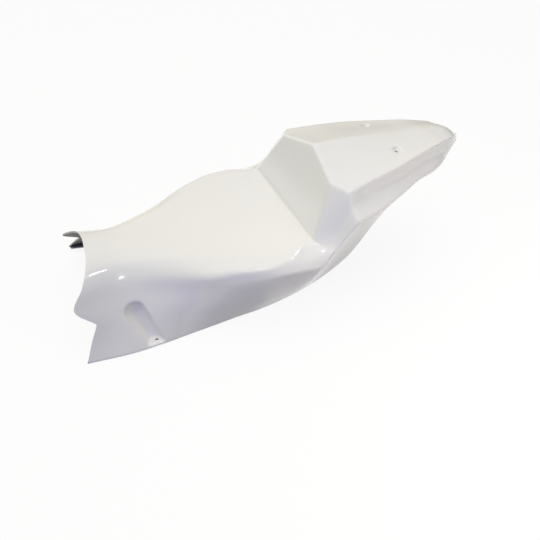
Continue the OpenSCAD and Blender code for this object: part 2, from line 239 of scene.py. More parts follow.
class Finish(Wiring):
    """A material's node tree, with the few kinds of node that the finishes share."""

    def __init__(self, name: str) -> None:
        """Args:
            name: the material's name.
        """
        self.material = bpy.data.materials.new(name)
        self.material.use_nodes = True
        super().__init__(self.material.node_tree)
        self.shader = self.group.nodes["Principled BSDF"]

    def place(self) -> Socket:
        """Returns the place on the piece, in metres."""
        return self.add("ShaderNodeTexCoord").outputs["Object"]

    def noise(self, place: Socket, scale: float, detail: float, distortion: float = 0.0) -> Socket:
        """Args:
            place: the coordinates to read.
            scale: how many features there are to a metre.
            detail: how many finer layers are added.
            distortion: how far the features are drawn out.

        Returns:
            The noise, from 0 to 1.
        """
        return self.add("ShaderNodeTexNoise", {
            "Vector": place, "Scale": scale, "Detail": detail, "Distortion": distortion}).outputs["Fac"]

    def ramp(self, value: Socket, *stops: tuple[float, Colour]) -> Socket:
        """Args:
            value: the number that picks the colour.
            stops: places from 0 to 1, each with its colour.

        Returns:
            The colour.
        """
        node = self.add("ShaderNodeValToRGB", {"Fac": value})
        for element, (where, colour) in zip(node.color_ramp.elements, stops):
            element.position = where
            element.color = (*colour, 1.0)
        return node.outputs["Color"]

    def scaled(self, value: Socket, low: float, high: float, to_low: float, to_high: float) -> Socket:
        """Args:
            value: the number to bring to a new range.
            low: the start of the old range.
            high: the end of the old range.
            to_low: the start of the new range.
            to_high: the end of the new range.

        Returns:
            The number in the new range.
        """
        return self.add("ShaderNodeMapRange", {
            "Value": value, "From Min": low, "From Max": high, "To Min": to_low,
            "To Max": to_high}).outputs["Result"]

    def bump(self, height: Socket, strength: float, distance: float) -> Socket:
        """Args:
            height: the height, from 0 to 1.
            strength: how much of it shows.
            distance: what a height of 1 stands for, in metres.

        Returns:
            The bent normal.
        """
        return self.add("ShaderNodeBump", {
            "Height": height, "Strength": strength, "Distance": distance}).outputs["Normal"]


# Curves and the table of offsets


def evenly(n: int, low: float = 0.0, high: float = 1.0) -> list[float]:
    """Args:
        n: how many equal parts there are.
        low: where they begin.
        high: where they end.

    Returns:
        The places between the parts.
    """
    return [low + (high - low) * i / n for i in range(1, n)]


@dataclass(frozen=True)
class Stops:
    """Places along a creased curve, each counted from one of its points.

    A stop on a span is a share of it, and a stop on a crease is a turn from -1 to 1.
    """

    key: np.ndarray
    share: np.ndarray
    turn: np.ndarray
    on_crease: np.ndarray
    creased: np.ndarray

    @staticmethod
    def lay_out(creases: set[int], shares: list[list[float]], turns: int) -> "Stops":
        """Args:
            creases: the points at which the curve may bend sharply.
            shares: the stops within each span, between 0 and 1.
            turns: how many stops there are on each side of a crease.

        Returns:
            The stops from the first point to the last, with the points themselves.
        """
        rows: list[tuple[int, float, float, bool]] = []
        for key in range(len(shares) + 1):
            if key in creases:
                rows += [(key, 0.0, i / turns, True) for i in range(-turns, turns + 1)]
            else:
                rows.append((key, 0.0, 0.0, False))
            if key < len(shares):
                rows += [(key, share, 0.0, False) for share in shares[key]]
        keys, share, turn, crease = (np.array(column) for column in zip(*rows))
        creased = np.array([key in creases for key in range(len(shares) + 1)])
        return Stops(keys, share, turn, crease, creased)

    def blended(self, table: Points) -> Points:
        """Returns the rows of a table of values at the points, blended to the stops."""
        after = np.minimum(self.key + 1, len(table) - 1)
        share = self.share[:, None]
        return table[self.key] * (1 - share) + table[after] * share


class CreasedCurve:
    """A curve through points, smooth or creased at each of them."""

    def __init__(self, points: Points, hard: Points, crease_r: float) -> None:
        """Args:
            points: the points, one to a row.
            hard: how sharply the curve bends at each point, from 0 to 1.
            crease_r: how far a crease is rounded, on each side of it.
        """
        self.points = points
        self.hard = hard
        run = np.diff(points, axis=0)
        self.span = np.maximum(np.linalg.norm(run, axis=1), 1e-9)
        unit_run = run / self.span[:, None]
        before, after = self.span[:-1, None], self.span[1:, None]
        inner = (run[:-1] * after / before + run[1:] * before / after) / (before + after)
        self.direction = np.vstack([unit_run[:1], inner, unit_run[-1:]])
        self.back = np.minimum(0.4, crease_r / np.concatenate([[1e9], self.span]))
        self.ahead = np.minimum(0.4, crease_r / np.concatenate([self.span, [1e9]]))

    def at(self, place: np.ndarray) -> Points:
        """Returns the points at places counted in spans."""
        i = np.clip(np.floor(place).astype(int), 0, len(self.points) - 2)
        t = (place - i)[:, None]
        run = self.points[i + 1] - self.points[i]
        length = self.span[i][:, None]
        first, second = self.hard[i][:, None], self.hard[i + 1][:, None]
        leave = self.direction[i] * length * (1 - first) + run * first
        arrive = self.direction[i + 1] * length * (1 - second) + run * second
        return (self.points[i] * (2 * t**3 - 3 * t**2 + 1) + leave * (t**3 - 2 * t**2 + t)
                + self.points[i + 1] * (3 * t**2 - 2 * t**3) + arrive * (t**3 - t**2))

    def sample(self, stops: Stops) -> Points:
        """Returns the points at the stops, with its creases rounded."""
        key = stops.key
        after = np.minimum(key + 1, len(self.points) - 1)
        start = key + np.where(stops.creased[key], self.ahead[key], 0.0)
        end = key + 1 - np.where(stops.creased[after], self.back[after], 0.0)
        on_span = start + stops.share * (end - start)
        plain = stops.share == 0.0
        on_span = np.where(plain, key, on_span)
        on_turn = key + stops.turn * np.where(stops.turn > 0, self.ahead[key], self.back[key])
        result = self.at(np.where(stops.on_crease, on_turn, on_span).astype(float))
        a = self.at((key - self.back[key]).astype(float))
        b = self.at((key + self.ahead[key]).astype(float))
        t = ((stops.turn + 1) / 2)[:, None]
        corner = self.points[key]
        arc = a * (1 - t) ** 2 + 2 * corner * t * (1 - t) + b * t**2
        amount = (self.hard[key] * stops.on_crease)[:, None]
        return result * (1 - amount) + arc * amount


@dataclass(frozen=True)
class SeatSizes:
    """Sizes of the moulding in millimetres, counted from its front tips and its lower edge."""

    overall_l: float = 850.0
    hip_w: float = 378.0
    front_w: float = 342.0
    laminate: float = 3.0
    pan_l: float = 430.0
    arch_h: float = 117.0
    pan_h: float = 140.0
    corner_w: float = 286.0
    hip_h: float = 114.0
    bump_run: float = 55.0
    bump_h: float = 261.0
    face_w: float = 206.0
    roof_w: float = 272.0
    roof_edge_h: float = 232.0
    shoulder_w: float = 354.0
    shoulder_h: float = 192.0
    tail_h: float = 230.0
    ridge_rise: float = 4.0
    return_h: float = 13.0
    flange_w: float = 25.0
    return_w: float = 8.0
    crease_r: float = 5.0
    cup_r: float = 10.0
    cup_depth: float = 4.0
    cup_back: float = 157.0
    cup_spacing: float = 117.0
    pocket_r: float = 14.5
    pocket_top_r: float = 18.5
    pocket_proud: float = 3.0
    pocket_x: float = 122.0
    pocket_lean: float = 25.0
    ledge_h: float = 5.0
    pocket_rise: float = 47.0
    bolt_inset: float = 9.0
    bolt_r: float = 3.25

    @property
    def apex_x(self) -> float:
        """Distance of the roof's apex behind the front tips."""
        return self.pan_l + self.bump_run

    @property
    def tail_l(self) -> float:
        """Length of the tail behind the apex."""
        return self.overall_l - self.apex_x


@dataclass(frozen=True)
class OffsetTable:
    """The stations of the moulding: nine guide points on each, from the centre line outward."""

    sizes: SeatSizes
    front_shape: tuple = (
        ((0, 1), (0.205, 0.987), (0.363, 0.936), (0.503, 0.829),
         (0.661, 0.632), (0.766, 0.419), (0.883, 0.205), (1, 0)),
        ((0, 1), (0.183, 0.987), (0.32, 0.942), (0.44, 0.835),
         (0.594, 0.619), (0.726, 0.42), (0.863, 0.208), (1, 0)),
        ((0, 1), (0.242, 0.999), (0.422, 0.974), (0.567, 0.864),
         (0.688, 0.65), (0.806, 0.444), (0.906, 0.222), (1, 0)),
        ((0, 1), (0.311, 1.005), (0.547, 0.978), (0.712, 0.867),
         (0.806, 0.664), (0.891, 0.454), (0.952, 0.227), (1, 0)),
        ((0, 1), (0.398, 1.01), (0.706, 0.99), (0.905, 0.891),
         (0.95, 0.724), (1, 0.469), (1.006, 0.23), (1, 0)),
        ((0, 1), (0.474, 1.01), (0.805, 1), (0.944, 0.973),
         (1, 0.844), (1, 0.544), (0.964, 0.264), (0.917, 0)),
        ((0, 1), (0.532, 1.01), (0.841, 1), (0.952, 0.973),
         (1, 0.876), (0.97, 0.558), (0.909, 0.271), (0.826, 0)),
    )
    front_set: tuple = (36.5, 35.5, 30, 20, 0.5, 30, 14, 1, 6)
    flange_share: tuple = (0.5, 1, 1, 1, 1, 1, 0.8)
    tail_place: tuple = (0.21, 0.37, 0.56, 0.75, 0.9, 1)
    ridge_fall: tuple = (0, 0, 0.02, 0.02, 0.16, 0.7)
    roof_gain: tuple = (9.5, 16, 22.5, 26.5, 22.5, 4.5)
    roof_half: tuple = (0.89, 0.786, 0.603, 0.43, 0.262, 0.06)
    edge_half: tuple = (0.876, 0.738, 0.566, 0.416, 0.203, 0.06)
    edge_gain: tuple = (-0.02, 0.113, 0.418, 0.572, 0.86, 0.97)

    def front_station(self, k: int) -> Points:
        """Returns the guide points of one station of the front and the pan."""
        s, hip = self.sizes, self.sizes.hip_w / 2
        place = ((0, s.front_w / 2, 0), (0.186, hip * 0.926, -0.065), (0.342, hip * 0.9, 0),
                 (0.437, hip * 0.873, 0.087), (0.54, hip * 0.847, 0.196), (0.651, hip * 0.889, 0.348),
                 (0.753, hip * 0.96, 0.522))[k]
        rows = []
        for j in range(9):
            y, z = self.front_shape[k][min(j, 7)]
            turned_in = self.flange_share[k] * s.flange_w if j == 8 else 0.0
            rows.append((place[0] * s.pan_l + (self.front_set[j] if k == 0 else 0.0),
                         y * place[1] - turned_in, z * (s.arch_h + place[2] * (s.pan_h - s.arch_h))))
        return np.array(rows, float)

    @staticmethod
    def with_side(upper: list[tuple[float, float, float]], low: Points, bulge: float, rim: Points) -> Points:
        """Args:
            upper: the five points from the centre line to the shoulder crease.
            low: the point on the lower edge.
            bulge: how far the side stands out of the line between them.
            rim: the step from the lower edge to the rim of its return.

        Returns:
            The nine guide points.
        """
        top, low = np.array(upper[4], float), np.array(low, float)
        side = [top + (low - top) * t + np.array([0, bulge * 4 * t * (1 - t), 0]) for t in (1 / 3, 2 / 3)]
        return np.vstack([np.array(upper, float), side, low, low + np.array(rim, float)])

    def tail_station(self, k: int) -> Points:
        """Returns the guide points of one station of the tail."""
        s, hip = self.sizes, self.sizes.hip_w / 2
        x = s.apex_x + self.tail_place[k] * s.tail_l
        rest = 1 - self.tail_place[k]
        peak = s.bump_h + s.ridge_rise
        ridge = peak - self.ridge_fall[k] * (peak - s.tail_h)
        roof = np.array([x - 3, self.roof_half[k] * s.roof_w / 2, s.roof_edge_h + self.roof_gain[k]])
        edge = np.array([x - 2, self.edge_half[k] * s.shoulder_w / 2,
                         s.shoulder_h + self.edge_gain[k] * (s.tail_h - s.shoulder_h)])
        flute = roof + (edge - roof) * 0.12 - np.array([0.5, 0, (roof[2] - edge[2]) * 0.36])
        low = (np.array([x + 22, hip - 63, 150.0]) if k == 0
               else edge + np.array([-2, -10 * (rest + 0.1) - 2, -s.return_h]))
        inner_roof = (x - 1, roof[1] * 0.72, ridge + (roof[2] - ridge) * 0.72)
        rim = (0, -min(s.return_w, low[1] * 0.5), 1)
        upper = [(x, 0, ridge), inner_roof, tuple(roof), tuple(flute), tuple(edge)]
        return self.with_side(upper, low, 0.0, rim)

    def stations(self) -> Points:
        """Returns the whole table: station, guide line, and the point's three coordinates."""
        s = self.sizes
        hip, corner, shoulder = s.hip_w / 2, s.corner_w / 2, s.shoulder_w / 2
        fold = self.with_side([
            (s.pan_l - 35, 0, s.pan_h - 4), (s.pan_l - 24, corner, s.pan_h),
            (s.pan_l - 43, corner + 15.5, s.pan_h - 4.5), (s.pan_l - 62, corner + 29.5, s.pan_h - 9.5),
            (s.pan_l - 68, hip - 1.5, s.hip_h + 3)], (s.pan_l - 56, hip - 48, 0), 4, (0, -14, 0))
        hips = self.with_side([
            (s.pan_l - 12, 0, s.pan_h - 1.5), (s.pan_l - 12, corner, s.pan_h),
            (s.pan_l - 15, corner + 16.5, s.pan_h - 6.5), (s.pan_l - 10, corner + 33.5, s.pan_h - 13.5),
            (s.pan_l - 1, hip, s.hip_h)], (s.pan_l - 6, hip - 60, 0), 3, (0, -s.return_w, 0))
        foot = self.with_side([
            (s.pan_l, 0, s.pan_h), (s.pan_l, corner, s.pan_h), (s.pan_l + 10, corner + 12, s.pan_h - 1),
            (s.pan_l + 20, corner + 23, s.pan_h - 0.5), (s.pan_l + 31, corner + 34.5, s.pan_h + 1)],
            (s.pan_l + 35, hip - 70, 5), 0, (0, -s.return_w, 1))
        top = self.with_side([
            (s.apex_x, 0, s.bump_h), (s.apex_x - 13, s.face_w / 2, s.roof_edge_h + 3),
            (s.apex_x + 8, s.roof_w / 2, s.roof_edge_h),
            (s.apex_x + 8, (s.roof_w + s.shoulder_w) / 4 - 5, (s.roof_edge_h + s.shoulder_h) / 2 - 2),
            (s.apex_x + 13, shoulder, s.shoulder_h)], (s.apex_x + 50, hip - 76, 46), -2, (0, -s.return_w, 2))
        return np.array([self.front_station(k) for k in range(7)] + [fold, hips, foot, top]
                        + [self.tail_station(k) for k in range(6)])

    @staticmethod
    def along() -> Points:
        """Returns how sharply each guide line bends at each station, along the shell."""
        smooth = [0.0] * 9
        return np.array([smooth] * 7 + [
            [0, 0.8, 0.8, 0.8, 0, 0, 0, 0, 0], [0, 1, 0, 0, 1, 0, 0, 0, 0],
            [1, 1, 0.6, 0.4, 0.3, 0, 0, 0, 0], [1, 1, 1, 1, 0.9, 0, 0, 0, 0]] + [smooth] * 6)

    @staticmethod
    def across() -> Points:
        """Returns how sharply each section bends at each guide line, across the shell."""
        skirt = [0, 0, 0, 0, 0, 0, 0, 1, 0]
        tail = [0, 0, 1, 0.25, 1, 0, 0, 1, 0]
        return np.array([
            [0, 0, 0, 0, 0, 0.9, 0, 1, 0], skirt, skirt, skirt, [0, 0, 0, 0, 0.1, 0, 0, 1, 0],
            [0, 0, 0, 0, 0.3, 0, 0, 1, 0], [0, 0, 0, 0, 0.6, 0, 0, 1, 0], [0, 1, 0, 0, 0.9, 0, 0, 1, 0],
            [0, 1, 0, 0, 1, 0, 0, 1, 0], [0, 1, 0, 0, 1, 0, 0, 1, 0], [1, 1, 1, 0.3, 1, 0, 0, 1, 0],
            [0.8, 0, 1, 0.25, 1, 0, 0, 1, 0], [0.5, 0, 1, 0.25, 1, 0, 0, 1, 0],
            [0.2, 0, 1, 0.25, 1, 0, 0, 1, 0], tail, tail, tail], float)


# Forms sunk into the skin


def soft_most(a: np.ndarray, b: np.ndarray, soft: float) -> np.ndarray:
    """Args:
        a: the first number.
        b: the second number.
        soft: how wide the blend between them is.

    Returns:
        The larger of the two, blended where they are about the same.
    """
    h = np.maximum(soft - np.abs(a - b), 0) / soft
    return np.maximum(a, b) + h * h * soft / 4


@dataclass(frozen=True)
class Frame3:
    """A local frame: a place and three directions."""

    origin: Points
    out: Points
    side: Points
    up: Points

    def local(self, points: Points) -> Points:
        """Returns points in this frame: outward, sideways and up."""
        return (points - self.origin) @ np.array([self.out, self.side, self.up]).T


def unit(v: Points) -> Points:
    """Returns a vector's direction."""
    return v / np.linalg.norm(v, axis=-1, keepdims=True)


@dataclass(frozen=True)
class SkirtPocket:
    """The half-round pocket with a level ledge in one skirt, where a bolt goes down."""

    place: Frame3
    length: float
    sizes: SeatSizes
    rim_soft: float = 3.0
    ledge_soft: float = 3.0
    spare: float = 2.0
    reach_low: float = 30.0
    reach_deep: float = 25.0
    travel: float = 26.0

    def reach(self, points: Points) -> np.ndarray:
        """Returns which points are near enough for the pocket to move them."""
        local = self.place.local(points)
        r = self.sizes.pocket_top_r + self.rim_soft + self.spare
        out, side, up = local[..., 0], local[..., 1], local[..., 2]
        return (np.abs(side) < r) & (up > -self.reach_low) & (up < self.length + r) & (
            np.abs(out) < self.reach_deep)

    def cut(self, local: Points, height: np.ndarray) -> np.ndarray:
        """Returns how far inside the pocket's form a local point is, less than 0 outside it."""
        s = self.sizes
        t, w = local[..., 1], local[..., 2]
        n = height - s.pocket_proud
        share = np.clip(w / self.length, -0.5, 1)
        r = s.pocket_r + (s.pocket_top_r - s.pocket_r) * share
        past = np.maximum(w - self.length, 0)
        inside = r - np.sqrt(n * n + t * t + past * past)
        world_z = (self.place.origin[2] + height * self.place.out[2] + t * self.place.side[2]
                   + w * self.place.up[2])
        above = world_z - s.ledge_h
        return -soft_most(-inside, -above, self.ledge_soft)

    def sink(self, points: Points) -> Points:
        """Returns the points, with those in the pocket's reach sunk onto its wall and ledge."""
        return sink_along(points, self.place, self.reach(points), self.cut, self.rim_soft, self.travel)


@dataclass(frozen=True)
class TailRecess:
    """The round recess for a bolt's head and washer on one side of the roof."""

    place: Frame3
    sizes: SeatSizes
    rim_soft: float = 1.6
    floor_soft: float = 1.5
    flare: float = 0.25
    spare: float = 4.0
    travel: float = 8.0

    def reach(self, points: Points) -> np.ndarray:
        """Returns which points are near enough for the recess to move them."""
        local = self.place.local(points)
        away = np.hypot(local[..., 1], local[..., 2])
        return (away < self.sizes.cup_r + self.spare) & (np.abs(local[..., 0]) < self.travel)

    def cut(self, local: Points, height: np.ndarray) -> np.ndarray:
        """Returns how far inside the recess a local point is, less than 0 outside it."""
        s = self.sizes
        wall = s.cup_r + self.flare * height - np.hypot(local[..., 1], local[..., 2])
        floor = height + s.cup_depth
        return -soft_most(-wall, -floor, self.floor_soft)

    def sink(self, points: Points) -> Points:
        """Returns the points, with those in the recess's reach sunk onto its wall and floor."""
        return sink_along(points, self.place, self.reach(points), self.cut, self.rim_soft, self.travel)


def sink_along(points: Points, place: Frame3, reach: np.ndarray, cut: Callable[[Points, Points], Points],
               soft: float, depth: float, above: float = 0.8, steps: int = 160) -> Points:
    """Args:
        points: the net of the skin.
        place: the form's frame; the points move along its outward direction.
        reach: which points may move.
        cut: how far inside the form a point is, by its local place and height.
        soft: how wide the rounding at the form's rim is.
        depth: how far a point may sink.
        above: how far above a point the search for the form begins.
        steps: how many heights are tried.

    Returns:
        The net with the form sunk into it.
    """
    chosen = points[reach]
    local = place.local(chosen)
    top = local[:, 0].copy()
    best = top.copy()
    found = np.zeros(len(chosen), bool)
    last = np.full(len(chosen), np.nan)
    for i in range(steps + 1):
        height = top + above - i * depth / steps
        solid = -soft_most(height - top, cut(local, height), soft)
        if i:
            cross = ~found & (solid >= 0)
            share = np.clip(last[cross] / (last[cross] - solid[cross]), 0, 1)
            best[cross] = height[cross] + (1 - share) * depth / steps
            found |= cross
        last = solid
    moved = points.copy()
    moved[reach] = chosen + (np.minimum(best, top) - top)[:, None] * place.out
    return moved


@dataclass(frozen=True)
class BoltHole:
    """A round hole through the skin."""

    centre: Points
    axis: Points
    radius: float
    reach: float

    def mirrored(self) -> "BoltHole":
        """Returns the same hole on the other side."""
        return BoltHole(self.centre * MIRROR, self.axis * MIRROR, self.radius, self.reach)

    def spread(self, points: Points) -> tuple[np.ndarray, np.ndarray]:
        """Returns each point's height along the hole's axis and its distance from that axis."""
        step = points - self.centre
        height = step @ self.axis
        return height, np.linalg.norm(step - height[..., None] * self.axis, axis=-1)


# The moulding


@dataclass
class SeatShell:
    """The whole moulding as one closed net of points, outer skin and inner skin."""

    sizes: SeatSizes = field(default_factory=SeatSizes)
    pocket_rows: int = 36
    finish_outside: Gelcoat = field(default_factory=Gelcoat)
    finish_inside: RawLaminate = field(default_factory=RawLaminate)
    finish_edge: TrimmedEdge = field(default_factory=TrimmedEdge)
    sharp_angle: float = 38.0
    side_guides: range = range(12, 16)
    roof_guides: range = range(8, 11)
    hole_facing: float = 0.7
    hole_margin: float = 0.35

    def row_stops(self) -> Stops:
        """Returns the rows along the shell, closest together at the pockets and the recesses."""
        shares = [
            evenly(14, 0, 0.86) + [0.86] + evenly(6, 0.86, 1), evenly(self.pocket_rows), evenly(9), evenly(9),
            evenly(9), evenly(9), evenly(7), evenly(3), evenly(3), evenly(12), evenly(10), evenly(8),
            evenly(2, 0, 0.12) + [0.12] + evenly(18, 0.12, 0.54) + [0.54] + evenly(5, 0.54, 1),
            evenly(9), evenly(9), evenly(10)]
        return Stops.lay_out({7, 8, 9, 10}, shares, 2)

    @staticmethod
    def column_stops() -> Stops:
        """Returns the columns of both halves, counted over the mirrored guide lines."""
        half = [
            evenly(8, 0, 0.6) + [0.6] + evenly(15, 0.6, 1), evenly(5, 0, 0.12) + [0.12] + evenly(4, 0.12, 1),
            evenly(6), evenly(6), evenly(4, 0, 0.3) + [0.3] + evenly(11, 0.3, 1), evenly(15), evenly(15),
            evenly(11)]
        mirrored = [[1 - share for share in reversed(span)] for span in reversed(half)]
        creased = (0, 1, 2, 4, 7)
        middle = len(half)
        creases = {middle + k for k in creased} | {middle - k for k in creased}
        return Stops.lay_out(creases, mirrored + half, 2)

    def section(self, points: Points, hard: Points) -> CreasedCurve:
        """Returns one section over both halves, from the guide points of one half."""
        both = np.vstack([points[:0:-1] * MIRROR, points])
        return CreasedCurve(both, np.concatenate([hard[:0:-1], hard]), self.sizes.crease_r)

    def guides(self, rows: Stops) -> tuple[Points, Points]:
        """Returns the guide lines' points and their hardness across, at the rows given."""
        table, along = OffsetTable(self.sizes).stations(), OffsetTable.along()
        lines = [CreasedCurve(table[:, j], along[:, j], self.sizes.crease_r).sample(rows) for j in range(9)]
        points = np.stack(lines, axis=1)
        points[..., 2] = np.maximum(points[..., 2], 0)
        return points, rows.blended(OffsetTable.across())

    def plain_net(self) -> Points:
        """Returns the outer skin's points, by row and column, before anything is sunk into it."""
        points, hard = self.guides(self.row_stops())
        columns = self.column_stops()
        net = np.array([self.section(p, h).sample(columns) for p, h in zip(points, hard)])
        net[..., 2] = np.maximum(net[..., 2], 0)
        return (net + net[:, ::-1] * MIRROR) / 2

    def surface_at(self, guide: int, x: float, keys: range, value: float, axis: int) -> Points:
        """Args:
            guide: the guide line on which the distance x is measured.
            x: the distance behind the front tips.
            keys: the guide lines between which the place lies, over both halves.
            value: the height or the half breadth of the place.
            axis: 2 where value is a height, 1 where it is a half breadth.

        Returns:
            The place on the plain skin.
        """
        table = OffsetTable(self.sizes).stations()
        start = 0 if x < self.sizes.pan_l else 10
        line = table[start:, guide, 0]
        u = float(np.interp(x, line, np.arange(start, start + len(line))))
        key = int(u)
        stops = Stops(np.array([key]), np.array([u - key]), np.zeros(1), np.zeros(1, bool),
                      np.zeros(len(table), bool))
        points, hard = self.guides(stops)
        curve = self.section(points[0], hard[0])
        known = curve.points[list(keys), axis]
        order = np.argsort(known)
        v = float(np.interp(value, known[order], np.array(list(keys))[order]))
        return curve.at(np.array([v]))[0]

    def pocket(self) -> SkirtPocket:
        """Returns the pocket of the side at +Y."""
        s = self.sizes
        low = self.surface_at(6, s.pocket_x, self.side_guides, s.ledge_h, 2)
        high = self.surface_at(6, s.pocket_x - s.pocket_lean, self.side_guides, s.ledge_h + s.pocket_rise, 2)
        up = unit(high - low)
        out = unit(np.cross(up, np.cross([0, 1, 0], up)))
        return SkirtPocket(Frame3(low, out, np.cross(up, out), up), float(np.linalg.norm(high - low)), s)

    def recess(self) -> TailRecess:
        """Returns the tail recess of the side at +Y."""
        s = self.sizes
        x, y = s.apex_x + s.cup_back, s.cup_spacing / 2

        def roof(x: float, y: float) -> Points:
            return self.surface_at(1, x, self.roof_guides, y, 1)

        centre = roof(x, y)
        out = unit(np.cross(roof(x + s.cup_r, y) - centre, roof(x, y + s.cup_r) - centre))
        side = unit(np.cross([0, 1, 0], out))
        return TailRecess(Frame3(centre, out, side, np.cross(out, side)), s)

    def holes(self, pocket: SkirtPocket, recess: TailRecess) -> list[BoltHole]:
        """Returns the bolt holes of the side at +Y: in the recess, the pocket's ledge and the flange."""
        s = self.sizes
        bolt = pocket.place.origin - np.array([0, s.bolt_inset, 0])
        up = np.array([0.0, 0.0, 1.0])
        recess_floor = recess.place.origin - recess.place.out * s.cup_depth
        return [
            BoltHole(recess_floor, recess.place.out, s.bolt_r, 1.5),
            BoltHole(np.array([bolt[0], bolt[1], s.ledge_h]), up, s.bolt_r, 3.0),
            BoltHole(np.array([bolt[0], bolt[1], 0.0]), up, s.bolt_r, 1.0),
        ]

    @staticmethod
    def normals(net: Points) -> Points:
        """Returns the outward direction at each point of a net."""
        along = np.gradient(net, axis=0)
        across = np.gradient(net, axis=1)
        return unit(np.cross(along, across))

    def inner_net(self, outer: Points) -> Points:
        """Returns the inner skin, one laminate inside the outer one and eased where it would fold."""
        outward = self.normals(outer)
        for _ in range(2):
            eased = outward.copy()
            eased[1:-1, 1:-1] = (outward[:-2, 1:-1] + outward[2:, 1:-1] + outward[1:-1, :-2]
                                 + outward[1:-1, 2:] + 2 * outward[1:-1, 1:-1]) / 6
            outward = unit(eased)
        inner = outer - outward * self.sizes.laminate
        inner[-1, :, 0] -= self.sizes.laminate
        return inner

    def mesh_data(self) -> tuple[Points, list[tuple[int, ...]], list[int]]:
        """Returns the closed shell's points in millimetres, its faces, and each face's surface."""
        net = self.plain_net()
        pocket, recess = self.pocket(), self.recess()
        middle = net.shape[1] // 2
        right = recess.sink(pocket.sink(net[:, middle:]))
        outer = np.concatenate([right[:, :0:-1] * MIRROR, right], axis=1)
        inner = self.inner_net(outer)
        rows, columns = outer.shape[:2]
        gone = np.zeros((rows, columns), bool)
        outward = self.normals(outer)
        for hole in self.holes(pocket, recess):
            self.open_hole(outer, inner, outward, gone, hole)
            self.open_hole(outer, inner, outward, gone, hole.mirrored())
        return self.faces(outer, inner, gone)

    def open_hole(self, outer: Points, inner: Points, outward: Points, gone: np.ndarray,
                  hole: BoltHole) -> None:
        """Args:
            outer: the outer skin, whose points round the hole move onto its wall.
            inner: the inner skin, likewise.
            outward: the outer skin's outward directions.
            gone: the points that are taken out, marked here.
            hole: the hole.
        """
        height, away = hole.spread(outer)
        facing = np.abs(outward @ hole.axis) > self.hole_facing
        near = (np.abs(height) < hole.reach) & facing
        out = near & (away < hole.radius - self.hole_margin)
        if not out.any():
            raise ValueError("a bolt hole lies off the skin")
        gone |= out
        ring = np.zeros_like(out)
        for step_r in (-1, 0, 1):
            for step_c in (-1, 0, 1):
                ring |= np.roll(np.roll(out, step_r, 0), step_c, 1)
        ring &= ~out & near
        step = outer[ring] - hole.centre
        rise = (step @ hole.axis)[:, None] * hole.axis
        outer[ring] = hole.centre + rise + unit(step - rise) * hole.radius
        lean = np.sign(outward[ring] @ hole.axis)[:, None]
        inner[ring] = outer[ring] - hole.axis * lean * self.sizes.laminate

    @staticmethod
    def faces(outer: Points, inner: Points, gone: np.ndarray
              ) -> tuple[Points, list[tuple[int, ...]], list[int]]:
        """Args:
            outer: the outer skin's net.
            inner: the inner skin's net.
            gone: the points that the bolt holes take out.

        Returns:
            The points in use, the faces, and the surface of each face.
        """
        rows, columns = outer.shape[:2]
        count = rows * columns
        index = np.arange(count).reshape(rows, columns)
        cell_gone = gone[:-1, :-1] | gone[1:, :-1] | gone[:-1, 1:] | gone[1:, 1:]
        faces: list[tuple[int, ...]] = []
        kinds: list[int] = []

        def put(kind: Surface, *corners: int) -> None:
            faces.append(tuple(int(c) for c in corners))
            kinds.append(kind.value)

        for r in range(rows - 1):
            for c in range(columns - 1):
                if cell_gone[r, c]:
                    continue
                a, b, d, e = index[r, c], index[r + 1, c], index[r + 1, c + 1], index[r, c + 1]
                put(Surface.OUTSIDE, a, b, d, e)
                put(Surface.INSIDE, a + count, e + count, d + count, b + count)
                walls = ((r == 0 or cell_gone[r - 1, c], e, a),
                         (r < rows - 2 and cell_gone[r + 1, c], b, d),
                         (c == 0 or cell_gone[r, c - 1], a, b),
                         (c == columns - 2 or cell_gone[r, c + 1], d, e))
                for is_open, p, q in walls:
                    if is_open:
                        put(Surface.TRIMMED, q, p, p + count, q + count)
        last = index[-1]
        for c in range(columns // 2):
            m, up, m_up = columns - 1 - c, c + 1, columns - 2 - c
            if up == m_up:
                put(Surface.OUTSIDE, last[c], last[m], last[up])
                put(Surface.INSIDE, last[c] + count, last[up] + count, last[m] + count)
            else:
                put(Surface.OUTSIDE, last[c], last[m], last[m_up], last[up])
                put(Surface.INSIDE, last[c] + count, last[up] + count, last[m_up] + count, last[m] + count)
        put(Surface.TRIMMED, last[0], last[0] + count, last[-1] + count, last[-1])
        points = np.concatenate([outer.reshape(-1, 3), inner.reshape(-1, 3)])
        used = np.zeros(2 * count, bool)
        used[np.array([c for face in faces for c in face])] = True
        renumber = np.cumsum(used) - 1
        return points[used], [tuple(int(renumber[c]) for c in face) for face in faces], kinds

    def placed(self, points: Points) -> Points:
        """Returns points in the frame's metres, kept inside the CAD model's box."""
        place = points * MM
        place[..., 0] -= self.sizes.overall_l * MM / 2
        return np.clip(place, np.array(CAD_LOW), np.array(CAD_HIGH))

    def inner_patch(self, border: int = 5) -> tuple[Points, list[tuple[int, ...]]]:
        """Args:
            border: how many rows and columns are left out along the trimmed edge.

        Returns:
            The inner skin away from its edges, pockets and recesses, as points and faces that look inward.
        """
        net = self.plain_net()
        right = net[:, net.shape[1] // 2:]
        sunk = self.pocket().reach(right) | self.recess().reach(right)
        sunk = np.concatenate([sunk[:, :0:-1], sunk], axis=1)[border:-border, border:-border]
        sunk = sunk[:-1, :-1] | sunk[:-1, 1:] | sunk[1:, 1:] | sunk[1:, :-1]
        inner = self.placed(self.inner_net(net))[border:-border, border:-border]
        rows, columns = inner.shape[:2]
        index = np.arange(rows * columns).reshape(rows, columns)
        corners = np.stack([index[:-1, :-1], index[:-1, 1:], index[1:, 1:], index[1:, :-1]], axis=-1)
        return inner.reshape(-1, 3), [tuple(map(int, face)) for face in corners[~sunk]]

